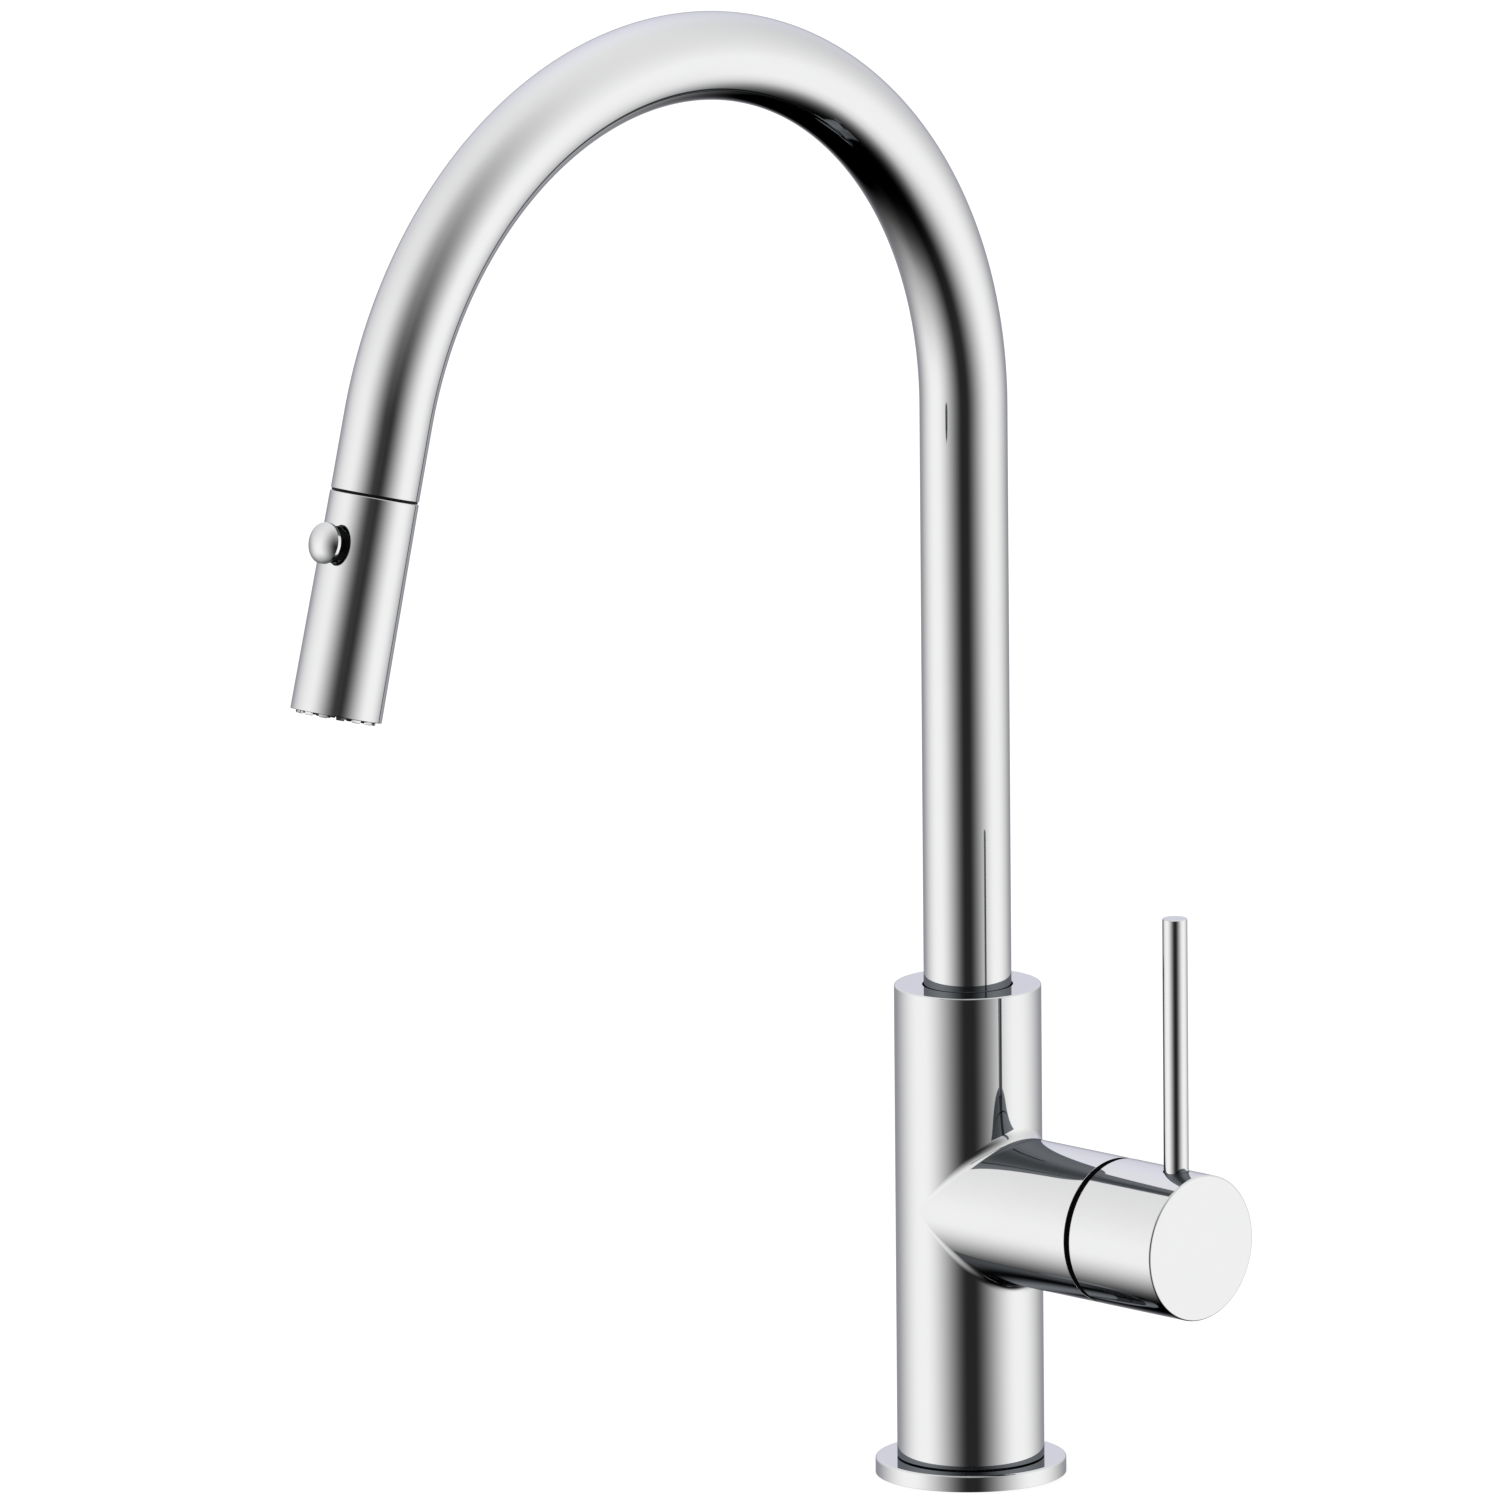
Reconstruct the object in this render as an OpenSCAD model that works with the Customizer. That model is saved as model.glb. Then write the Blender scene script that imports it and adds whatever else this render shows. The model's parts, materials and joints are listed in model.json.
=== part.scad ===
// Pull down kitchen faucet with a gooseneck spout and a side pin lever.
// Origin: centre of the deck flange's underside. +Z up, spout towards -Y, side lever towards +X.

/* [Deck flange] */
// Outer diameter of the flange that stands on the deck
flange_d = 61; // [58:0.5:70]
// Thickness of the flange
flange_t = 5.3; // [4.5:0.1:6]

/* [Body] */
// Diameter of the column and of its side branch
body_d = 47; // [46.6:0.1:50]
// Height of the column's top face above the deck
body_h = 159.5; // [159:0.5:170]
// Height of the side branch's axis above the deck
branch_z = 88.8; // [87:0.1:89]
// Distance from the column's axis to the branch's open end
branch_end = 65.1; // [65:0.1:65.5]

/* [Gooseneck] */
// Outer diameter of the spout tube
tube_d = 28; // [27.8:0.1:28]
// Wall of the spout tube
tube_wall = 1.2; // [1:0.1:1.2]
// Height at which the straight tube starts to bend
bend_z = 347.5; // [300:0.5:400]
// Radius of the bend at the tube's centreline
bend_r = 130.2; // [120:0.1:140]
// Angle that the bend turns through
bend_angle = 165.05; // [150:0.05:175]
// Straight tube after the bend, up to the seam with the spray head
seat_len = 23.8; // [23.6:0.1:24]

/* [Spray head] */
// Distance from the bend's end to the spray head's top edge
head_top = 24.6; // [24.5:0.1:24.8]
// Distance from the bend's end to the spray head's bottom edge
head_bottom = 94; // [93.5:0.1:94.2]
// Diameter of the spray head at its top edge
head_top_d = 28.2; // [28:0.1:28.6]
// Diameter of the spray head at its bottom edge
head_bottom_d = 29; // [28.8:0.1:29.6]
// Distance from the bend's end to the diverter knob's axis
knob_s = 41.2; // [41:0.1:42]
// Diameter of the diverter knob
knob_d = 13; // [12.9:0.1:13.2]
// Diameter of the hole under the diverter knob, a little smaller than the knob
knob_hole_d = 11.6; // [11.4:0.1:12.8]

/* [Lever] */
// Gap between the branch and the lever cap
cap_gap = 2.4; // [2.2:0.1:2.6]
// Distance from the column's axis to the cap's outer end
cap_end = 103.2; // [102:0.1:105]
// Distance from the column's axis to the lever pin
pin_x = 92.3; // [91:0.1:93]
// Diameter of the lever pin
pin_d = 8; // [7:0.1:8]
// Height of the lever pin's top above the deck
pin_top = 194.3; // [150:0.1:220]
// Distance from the column's axis to the ball joint that the lever tilts about
pivot_x = 49; // [49:0.1:49.2]

/* [Deck fixing] */
// Length of the threaded shank below the deck
shank_len = 55; // [55:1:70]
// Outer diameter of the shank's thread
shank_d = 33; // [33:0.1:33]
// Thickness of the deck that the nut is drawn tight on
deck_t = 30; // [15:1:32]
// How far the copper tails reach below the deck
tail_len = 89; // [85:1:150]

/* [Hidden] */
$fn = 72;

chrome = "#d4d6d8";
dark_plastic = "#1b1b1c";
grey_plastic = "#8d9092";
rubber = "#232323";
brass = "#b8924a";
copper = "#b87333";
steel = "#9b9ea1";
ceramic = "#efece4";
hose_grey = "#6f7275";

body_r = body_d / 2;
tube_r = tube_d / 2;
shank_r = shank_d / 2;
run_fit = 0.05;      // radial clearance of a running fit
rest_gap = 0.02;     // gap between faces that rest on each other
eps = 0.01;          // overlap that makes a cut clean

// column
groove_h = 0.35;                  // shadow groove between flange and column
foot_r = body_r - 2;
floor_z = 20;                     // top of the column's thick bottom
bore_r = 19.6;
shoulder_z = body_h - 8;          // underside of the column's top wall
top_bore_r = tube_r + 0.45;
fillet_s = 0.8;

// branch and cartridge, measured along +X
pocket_x = 26;
pocket_r = 17.6;
thread_x = 53;
thread_r = 20.7;
port_r = 3.5;
supply_port = [9.58, 6];          // half spacing along Y, height above the branch's axis
outlet_port_dz = -10;
ball_arm = 13;                    // from the lever's pivot to the ball that moves the disc
ball_x = pivot_x - ball_arm;
slot_w = 8.3;                     // slot that the square spindle swings in
slot_h = 13;
spindle_w = 8;
neck_r = 9;
neck_end = thread_x - 2;          // the carrier's neck runs through the shell's end plate
disc_r = 13;
fixed_disc_x = pocket_x + 0.6;
fixed_disc_t = 2.8;
moving_disc_x = fixed_disc_x + fixed_disc_t + rest_gap;
moving_disc_t = 2.48;
driver_x = moving_disc_x + moving_disc_t;
carrier_r = 14.6;
pivot_r = 1.5;
ball_r = 3;
dome_r = 27.3;                    // the dome is a sphere about the lever's pivot
dome_open_r = 14.6;
cap_x = branch_end + cap_gap;
hub_x = 76.8;
hub_r = 13;
cap_floor_x = cap_end - 5.2;      // inside of the cap's end wall
plug_x = 80;
plug_r = 3.5;
stud_r = 2.45;                    // the lever pin's threaded stud
pin_low = branch_z + 11.6;        // where the lever pin's full diameter begins

// clamp under the deck
gasket_t = 3;
washer_t = 2.5;
clamp_r = 26;

// tails inside the shank
tail_r = 3.5;
tail_ring_r = 10.2;
tail_bend_r = 10;
outlet_bend_r = 8;
supply_angle = 110;

// spout bearing
sleeve_z = 120;
sleeve_top = body_h - 10.1;
sleeve_r = 19.2;
o_ring_z = [128.3, 140.3];

// hose
hose_r = 5.5;
hose_bore = 3.5;
hose_end_s = 5.9;
hose_low = -50;
plug_low = -72;
stem_r = 4;

// dock in the spout's end, with a ring magnet let into it
seat_r = tube_r - tube_wall - rest_gap;
magnet_s = seat_len - 5.35;
magnet_len = 4;
magnet_out_r = 12.05;
magnet_in_r = 9.05;
seam_lip_r = tube_r - 0.35;       // the collar's lip shows as the black seam over the spray head

// spray head
head_in_r = 12.4;
face_s = 88;                      // ledge that the face ring rests on
knob_under = 17.55;               // the knob's underside, from the head's axis
gland_r = knob_hole_d / 2 - 0.4;  // the gland is fitted through the knob's hole
spool_end = -5.8;                 // the diverter spool's inner end, from the head's axis
spool_bore_end = -10.6;           // bottom of the spool's bore, which its spring stands on

// ---- helpers ----

// points on an arc round centre c
function arc(c, r, a0, a1, n = 6) =
    [for (i = [0:n]) c + r * [cos(a0 + (a1 - a0) * i / n), sin(a0 + (a1 - a0) * i / n)]];

module ring(r_out, r_in, z0, z1) {
    translate([0, 0, z0]) difference() {
        cylinder(r = r_out, h = z1 - z0);
        translate([0, 0, -1]) cylinder(r = r_in, h = z1 - z0 + 2);
    }
}

module rod(r, z0, z1) {
    translate([0, 0, z0]) cylinder(r = r, h = z1 - z0);
}

module torus(major, minor, z) {
    translate([0, 0, z]) rotate_extrude() translate([major, 0]) circle(minor, $fn = 32);
}

// local +Z runs along the side branch, away from the column
module branch() {
    translate([0, 0, branch_z]) rotate([0, 90, 0]) children();
}

// local +Z runs out of the spout's end, local +Y faces away from the column
module dock() {
    translate([0, -bend_r + bend_r * cos(bend_angle), bend_z + bend_r * sin(bend_angle)])
        rotate([bend_angle, 0, 0]) children();
}

// local +Z is the diverter's axis, pointing out of the spray head
module diverter() {
    dock() translate([0, 0, knob_s]) rotate([-90, 0, 0]) children();
}

// a pipe along the spout's centreline, from z0 in the column to s1 past the bend,
// where its straight end is set a hair into the bend's wall, so that the two are one solid
module spout_path(r_out, r_in, z0, s1) {
    set_in = 0.05;
    hair = 0.02;
    ring(r_out, r_in, z0, bend_z);
    translate([0, -bend_r, bend_z]) rotate([90, 0, 90])
        rotate_extrude(angle = bend_angle) translate([bend_r, 0]) difference() {
            circle(r_out);
            circle(r_in);
        }
    dock() ring(r_out - hair, r_in + hair, -set_in, s1);
}

// a tail that rises at (x, y), bends over at height z and runs along +X into the cartridge's seat
module tail(x, y, z, r_bend) {
    nipple = 12;
    translate([x, y, -tail_len]) difference() {
        union() {
            cylinder(r = tail_r, h = tail_len + z - r_bend);
            cylinder(r = tail_r + 0.5, h = nipple);
        }
        translate([0, 0, -1]) cylinder(r = tail_r - 1, h = tail_len + z - r_bend + 1);
    }
    translate([x + r_bend, y, z - r_bend]) rotate([90, 0, 180])
        rotate_extrude(angle = 90) translate([r_bend, 0]) difference() {
            circle(tail_r);
            circle(tail_r - 1);
        }
    translate([0, y, z]) rotate([0, 90, 0]) ring(tail_r, tail_r - 1, x + r_bend, pocket_x - 2);
}

// ---- deck flange and column ----

module base_flange() {
    groove = [20, 28, 1.5];
    r = flange_d / 2;
    color(chrome) rotate_extrude() polygon(concat(
        [[shank_r + 0.75, 0], [groove.x, 0], [groove.x, groove.z], [groove.y, groove.z], [groove.y, 0]],
        [[r - 0.3, 0], [r, 0.3]],
        arc([r - 0.7, flange_t - 0.7], 0.7, 0, 90),
        [[shank_r + 0.75, flange_t]]
    ));
}

module deck_gasket() {
    color(rubber) ring(27.8, 20.2, rest_gap, 1.5 - rest_gap);
}

module column_outside() {
    rotate_extrude() polygon(concat(
        [[0, flange_t], [foot_r, flange_t], [foot_r, flange_t + groove_h]],
        [[body_r - 0.12, flange_t + groove_h], [body_r, flange_t + groove_h + 0.12]],
        arc([body_r - fillet_s, body_h - fillet_s], fillet_s, 0, 90),
        [[0, body_h]]
    ));
}

module branch_outside() {
    branch() rotate_extrude() polygon([
        [0, 0], [body_r, 0], [body_r, branch_end - 0.3], [body_r - 0.3, branch_end], [0, branch_end]
    ]);
}

module body_casting() {
    color(chrome) difference() {
        union() {
            column_outside();
            branch_outside();
        }
        rod(bore_r, floor_z, shoulder_z);
        rod(shank_r, flange_t - 1, floor_z + eps);
        rod(top_bore_r, shoulder_z - 1, body_h + 1);
        rod(bore_r + 0.8, sleeve_z - 2.9, sleeve_z - 1.3);
        branch() rod(pocket_r, pocket_x, thread_x + eps);
        branch() rod(thread_r, thread_x, branch_end + 1);
        for (side = [-1, 1])
            translate([0, side * supply_port.x, branch_z + supply_port.y]) rotate([0, 90, 0])
                rod(port_r, 12, pocket_x + 1);
        translate([0, 0, branch_z + outlet_port_dz]) rotate([0, 90, 0])
            rod(port_r, 18, pocket_x + 1);
    }
}

// ---- deck fixing ----

module mounting_shank() {
    register_r = shank_r + 0.7;
    register_h = 8;
    color(brass) difference() {
        union() {
            rod(shank_r, -shank_len, floor_z);
            rod(register_r, -register_h, 0);
        }
        rod(14, -shank_len - 1, floor_z + 1);
    }
}

module clamp_gasket() {
    color(rubber) ring(clamp_r, shank_r + 0.4, -deck_t - gasket_t, -deck_t);
}

module clamp_washer() {
    color(steel) ring(clamp_r, shank_r + 0.4, -deck_t - gasket_t - washer_t, -deck_t - gasket_t);
}

// hexagon nut, chamfered at both ends
module mounting_nut() {
    corner_r = 26.5;
    nut_h = 11.5;
    chamfer = 2.2;
    drop = 1.3;
    color(brass) translate([0, 0, -deck_t - gasket_t - washer_t - nut_h]) difference() {
        intersection() {
            cylinder(r = corner_r, h = nut_h, $fn = 6);
            rotate_extrude() polygon([
                [0, 0], [corner_r - chamfer, 0], [corner_r + eps, drop],
                [corner_r + eps, nut_h - drop], [corner_r - chamfer, nut_h], [0, nut_h]
            ]);
        }
        rod(shank_r + run_fit, -1, nut_h + 1);
    }
}

// ---- water tails ----

module hot_tail() {
    color(copper) tail(tail_ring_r * cos(supply_angle), -supply_port.x,
                       branch_z + supply_port.y, tail_bend_r);
}

module cold_tail() {
    color(copper) tail(tail_ring_r * cos(supply_angle), supply_port.x,
                       branch_z + supply_port.y, tail_bend_r);
}

module outlet_tail() {
    color(copper) tail(tail_ring_r, 0, branch_z + outlet_port_dz, outlet_bend_r);
}

// ---- cartridge, along the branch ----

module cartridge_shell() {
    color(grey_plastic) branch() difference() {
        rod(pocket_r - 0.1, pocket_x, thread_x - 0.02);
        rod(carrier_r + 0.2, fixed_disc_x + fixed_disc_t, thread_x - 1.4);
        rod(disc_r + run_fit, fixed_disc_x, moving_disc_x + 1);
        rod(neck_r + run_fit, neck_end, thread_x + 1);
        for (side = [-1, 1])
            translate([-supply_port.y, side * supply_port.x, 0]) rod(2.6, pocket_x - 1, pocket_x + 2);
        translate([-outlet_port_dz, 0, 0]) rod(2.6, pocket_x - 1, pocket_x + 2);
    }
}

// three seals pressed into the ports between the cartridge's base and the fixed disc
module base_seals() {
    ports = [[-supply_port.y, -supply_port.x], [-supply_port.y, supply_port.x], [-outlet_port_dz, 0]];
    color(rubber) branch() for (p = ports)
        translate([p.x, p.y, 0]) ring(2.6 - rest_gap, 1.8, pocket_x + rest_gap, fixed_disc_x - rest_gap);
}

module fixed_disc() {
    color(ceramic) branch() difference() {
        rod(disc_r, fixed_disc_x, fixed_disc_x + fixed_disc_t);
        for (side = [-1, 1])
            translate([-supply_port.y, side * 6.5, 0]) rod(2, pocket_x, pocket_x + 4);
        translate([6.5, 0, 0]) rod(2.6, pocket_x, pocket_x + 4);
    }
}

module moving_disc() {
    color(ceramic) branch() rod(8.5, moving_disc_x, moving_disc_x + moving_disc_t);
}

module disc_driver() {
    color(grey_plastic) branch() difference() {
        rod(8, driver_x, driver_x + 5.6);
        rod(ball_r + 0.3, driver_x + 0.7, driver_x + 6);
    }
}

module spindle_carrier() {
    color(dark_plastic) branch() difference() {
        union() {
            rod(carrier_r, pivot_x - 8.5, thread_x - 1.5);
            rod(neck_r, neck_end, thread_x + 2);
        }
        translate([-slot_h / 2, -slot_w / 2, pivot_x - 9]) cube([slot_h, slot_w, 20]);
        translate([0, 0, pivot_x]) rotate([90, 0, 0]) cylinder(r = pivot_r, h = 24.4, center = true);
    }
}

module pivot_pin() {
    color(steel) branch() translate([0, 0, pivot_x])
        rotate([90, 0, 0]) cylinder(r = pivot_r, h = 24, center = true);
}

module lever_spindle() {
    square_x = pivot_x - 4.5;
    color(steel) branch() difference() {
        union() {
            translate([-spindle_w / 2, -spindle_w / 2, square_x])
                cube([spindle_w, spindle_w, 94 - square_x]);
            rod(2.4, ball_x, square_x + 1);
            translate([0, 0, ball_x]) sphere(r = ball_r);
        }
        translate([0, 0, pivot_x]) rotate([90, 0, 0])
            cylinder(r = pivot_r + run_fit, h = spindle_w + 2, center = true);
    }
}

module cartridge_nut() {
    color(brass) branch() ring(thread_r - 0.05, 13.5, thread_x, thread_x + 7);
}

// black dome that fills the branch's mouth behind the lever cap
module dome_cover() {
    wall = 1.1;
    foot_x = branch_end - pivot_x + 0.02;
    a_foot = acos(foot_x / dome_r);
    a_open = asin(dome_open_r / dome_r);
    a_open_in = asin(dome_open_r / (dome_r - wall));
    a_skirt = asin(19.4 / (dome_r - wall));
    function on_sphere(r, a0, a1, n = 10) =
        [for (i = [0:n]) let (a = a0 + (a1 - a0) * i / n) [r * sin(a), pivot_x + r * cos(a)]];
    color(dark_plastic) branch() rotate_extrude() polygon(concat(
        [[19.4, thread_x + 7.1], [thread_r - 0.15, thread_x + 7.1], [thread_r - 0.15, pivot_x + foot_x]],
        on_sphere(dome_r, a_foot, a_open),
        on_sphere(dome_r - wall, a_open_in, a_skirt)
    ));
}

// ---- lever ----

module handle_cap() {
    edge = 0.6;
    color(chrome) branch() difference() {
        rotate_extrude() polygon(concat(
            [[body_r - 0.7, cap_x], [body_r - 0.15, cap_x], [body_r, cap_x + 0.15]],
            arc([body_r - edge, cap_end - edge], edge, 0, 90),
            [[0, cap_end], [0, hub_x], [hub_r, hub_x], [hub_r, cap_floor_x]],
            [[thread_r - 0.1, cap_floor_x], [thread_r - 0.1, cap_x + 7]]
        ));
        // square socket for the spindle
        translate([-4.1, -4.1, hub_x - 1]) cube([8.2, 8.2, 95 - hub_x]);
        // hole for the lever pin and its threaded stud
        translate([0, 0, pin_x]) rotate([0, -90, 0]) rod(pin_d / 2 + 0.15, 11.5, body_r + 1);
        translate([0, 0, pin_x]) rotate([0, -90, 0]) rod(stud_r + run_fit, 3, 12);
        // hole for the grub screw and its plug
        translate([0, 0, plug_x]) rotate([0, 90, 0]) rod(3, 3, hub_r + 1);
        translate([0, 0, plug_x]) rotate([0, 90, 0]) rod(plug_r + run_fit, hub_r + 1, body_r + 1);
    }
}

module lever_pin() {
    r = pin_d / 2;
    edge = 0.4;
    color(chrome) translate([pin_x, 0, 0]) rotate_extrude() polygon(concat(
        [[0, pin_low - 7], [stud_r, pin_low - 7], [stud_r, pin_low], [r, pin_low]],
        arc([r - edge, pin_top - edge], edge, 0, 90),
        [[0, pin_top]]
    ));
}

module handle_grub_screw() {
    color(steel) translate([plug_x, 0, branch_z]) difference() {
        rod(2.95, -12.5, -4.02);
        translate([0, 0, -13]) cylinder(d = 3.4, h = 3.5, $fn = 6);
    }
}

module screw_plug() {
    proud = 0.8;
    dome = (plug_r * plug_r + proud * proud) / (2 * proud);
    a = asin(plug_r / dome);
    color(chrome) translate([plug_x, 0, branch_z - body_r + 0.3]) rotate([180, 0, 0])
        rotate_extrude() polygon(concat(
            [[0, -3], [plug_r, -3]],
            [for (i = [0:6]) let (t = a * (1 - i / 6)) [dome * sin(t), proud - dome + dome * cos(t) + 0.3]]
        ));
}

// ---- spout bearing ----

module top_bush() {
    color(dark_plastic) union() {
        ring(top_bore_r, tube_r + run_fit, shoulder_z, body_h - 1.2);
        ring(bore_r - 0.1, tube_r + run_fit, shoulder_z - 2, shoulder_z);
    }
}

module thrust_washer() {
    color(dark_plastic) ring(19.3, 14.2, sleeve_z - 1.25, sleeve_z - 0.05);
}

module retaining_ring() {
    color(steel) ring(bore_r + 0.75, 16.5, sleeve_z - 2.8, sleeve_z - 1.4);
}

module spout_tube() {
    color(chrome) spout_path(tube_r, tube_r - tube_wall, sleeve_z, seat_len);
}

module spout_sleeve() {
    groove_w = 2.8;
    color(brass) difference() {
        ring(sleeve_r, tube_r, sleeve_z, sleeve_top);
        for (z = o_ring_z) ring(sleeve_r + 1, sleeve_r - 2.7, z - groove_w / 2, z + groove_w / 2);
    }
}

module sleeve_o_rings() {
    color(rubber) for (z = o_ring_z) torus(sleeve_r - 1.3, 1.35, z);
}

// ---- hose and dock ----

module dock_collar() {
    color(dark_plastic) dock() difference() {
        union() {
            rod(seat_r, 3, head_top - 0.1);
            rod(seam_lip_r, seat_len + rest_gap, head_top - 0.1);
        }
        rod(8.3, 2, head_top + 1);
        ring(magnet_out_r + run_fit, magnet_in_r - run_fit,
             magnet_s - run_fit, magnet_s + magnet_len + run_fit);
    }
}

module dock_magnet() {
    color(steel) dock() ring(magnet_out_r, magnet_in_r, magnet_s, magnet_s + magnet_len);
}

module pull_hose() {
    color(hose_grey) spout_path(hose_r, hose_bore, hose_low, hose_end_s);
}

module hose_plug() {
    color(brass) difference() {
        union() {
            rod(6.2, plug_low, hose_low);
            torus(6.0, 0.5, plug_low + 6);
        }
        rod(3, plug_low - 1, hose_low + 1);
    }
}

module hose_ferrule() {
    color(steel) dock() ring(7.4, stem_r + rest_gap, 6, 20);
}

module hose_stem() {
    color(brass) dock() difference() {
        union() {
            rod(stem_r, 6.5, 29);
            rod(6.5, 28.1, 30);
        }
        rod(2.6, 5, 31);
    }
}

module swivel_nut() {
    color(brass) dock() ring(9 - rest_gap, stem_r + run_fit, 24.9, 28);
}

module hose_washer() {
    color(rubber) dock() ring(8.9, 3.4, 30.05, 31.5);
}

module check_valve() {
    color(grey_plastic) dock() difference() {
        rod(5.5, 31.52, 36.3);
        ring(4.2, 2.6, 33, 37);
        rod(1.2, 31, 37);
    }
}

module magnet_plate() {
    color(steel) dock() ring(12.2, 9.6, head_top + 1.55, head_top + 2.45);
}

// ---- spray head ----

module head_shell() {
    edge = 0.45;
    r0 = head_top_d / 2;
    r1 = head_bottom_d / 2;
    color(chrome) difference() {
        dock() rotate_extrude() polygon(concat(
            [[9.5, head_top]],
            arc([r0 - edge, head_top + edge], edge, 270, 360),
            [[r1, head_bottom - 0.3], [r1 - 0.3, head_bottom], [12.9, head_bottom]],
            [[12.9, face_s], [head_in_r, face_s], [head_in_r, head_top + 1.5], [9.5, head_top + 1.5]]
        ));
        diverter() rod(knob_hole_d / 2, 8, 20);
    }
}

module waterway_body() {
    color(dark_plastic) difference() {
        dock() rod(head_in_r - 0.2, head_top + 2.5, face_s);
        dock() rod(9, head_top, 31.5);
        dock() rod(5.6, 31, 36.6);
        diverter() rod(4.2, spool_bore_end, 13);
        diverter() rod(gland_r + 0.05, 9.5, 13);
        dock() rod(3, 36, 89);
        dock() translate([0, 7, 0]) rod(1.8, knob_s, 89);
    }
}

module diverter_gland() {
    color(dark_plastic) diverter() ring(gland_r, 2.2 + run_fit, 9.52, 11.6);
}

// the coil, drawn as separate turns, which still fit one on another with the knob pressed in
module diverter_spring() {
    turns = 4;
    wire_r = 0.2;
    first = spool_bore_end + wire_r + 0.1;
    last = spool_end - wire_r - 0.1;
    color(steel) diverter() for (i = [0:turns - 1])
        torus(2.9, wire_r, first + i * (last - first) / (turns - 1));
}

module diverter_knob() {
    r = knob_d / 2;
    band = 1.35;
    rise = 2.85;
    dome_r = (r * r + rise * rise) / (2 * rise);
    dome_s = knob_under + band + rise - dome_r;
    color(chrome) diverter() rotate_extrude() polygon(concat(
        [[0, 11.8], [2.2, 11.8], [2.2, knob_under - 0.6], [2.9, knob_under]],
        [[r - 0.15, knob_under], [r, knob_under + 0.15]],
        arc([0, dome_s], dome_r, acos(r / dome_r), 90, 12)
    ));
}

module diverter_spool() {
    land = [[spool_end, -3.4], [2, 4.4]];
    color(brass) diverter() difference() {
        union() {
            rod(2.2, spool_end, 11.8);
            for (l = land) rod(4, l[0], l[1]);
        }
        for (l = land) ring(5, 2.9, l[0] + 0.7, l[1] - 0.7);
    }
}

module spool_o_rings() {
    color(rubber) diverter() for (y = [-4.6, 3.2]) torus(3.5, 0.48, y);
}

// rubber plate with a ring of spray nozzles
module spray_plate() {
    nozzles = 18;
    color(rubber) dock() difference() {
        union() {
            ring(11.3, 7, 90.5, 93.3);
            for (i = [0:nozzles - 1]) rotate([0, 0, i * 360 / nozzles])
                translate([9.6, 0, 0]) rod(0.85, 93, 94.8);
        }
        for (i = [0:nozzles - 1]) rotate([0, 0, i * 360 / nozzles])
            translate([9.6, 0, 0]) rod(0.35, 90, 96);
    }
}

// ring that holds the spray plate, with a castellated edge for a key
module face_ring() {
    teeth = 14;
    slot = 2.9;
    slot_depth = 1.4;
    color(chrome) dock() difference() {
        ring(12.6, 11.4, face_s + 0.5, head_bottom + 1);
        for (i = [0:teeth - 1]) rotate([0, 0, i * 360 / teeth])
            translate([9, -slot / 2, head_bottom + 1 - slot_depth]) cube([6, slot, slot_depth + 1]);
    }
}

// fine grid that shapes the straight stream
module aerator_insert() {
    pitch = 1.9;
    color(steel) dock() union() {
        ring(6.9, 6, 88.5, 93.8);
        for (i = [-2:2]) intersection() {
            rod(6.05, 90.5, 92.5);
            translate([-7, i * pitch - 0.2, 90]) cube([14, 0.4, 2]);
        }
        for (i = [-2:2]) intersection() {
            rod(6.05, 92, 93.6);
            translate([i * pitch - 0.2, -7, 91.9]) cube([0.4, 14, 1.6]);
        }
    }
}

base_flange();
deck_gasket();
body_casting();
mounting_shank();
clamp_gasket();
clamp_washer();
mounting_nut();
hot_tail();
cold_tail();
outlet_tail();
cartridge_shell();
base_seals();
fixed_disc();
moving_disc();
disc_driver();
spindle_carrier();
pivot_pin();
lever_spindle();
cartridge_nut();
dome_cover();
handle_cap();
lever_pin();
handle_grub_screw();
screw_plug();
top_bush();
thrust_washer();
retaining_ring();
spout_tube();
spout_sleeve();
sleeve_o_rings();
dock_collar();
dock_magnet();
pull_hose();
hose_plug();
hose_ferrule();
hose_stem();
swivel_nut();
hose_washer();
check_valve();
magnet_plate();
head_shell();
waterway_body();
diverter_gland();
diverter_spring();
diverter_knob();
diverter_spool();
spool_o_rings();
spray_plate();
face_ring();
aerator_insert();
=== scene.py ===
"""The looks of a pull down kitchen faucet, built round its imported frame. Metres, +Z up."""

import json
import math

import bpy
import numpy as np
from mathutils import Matrix, Vector

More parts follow.
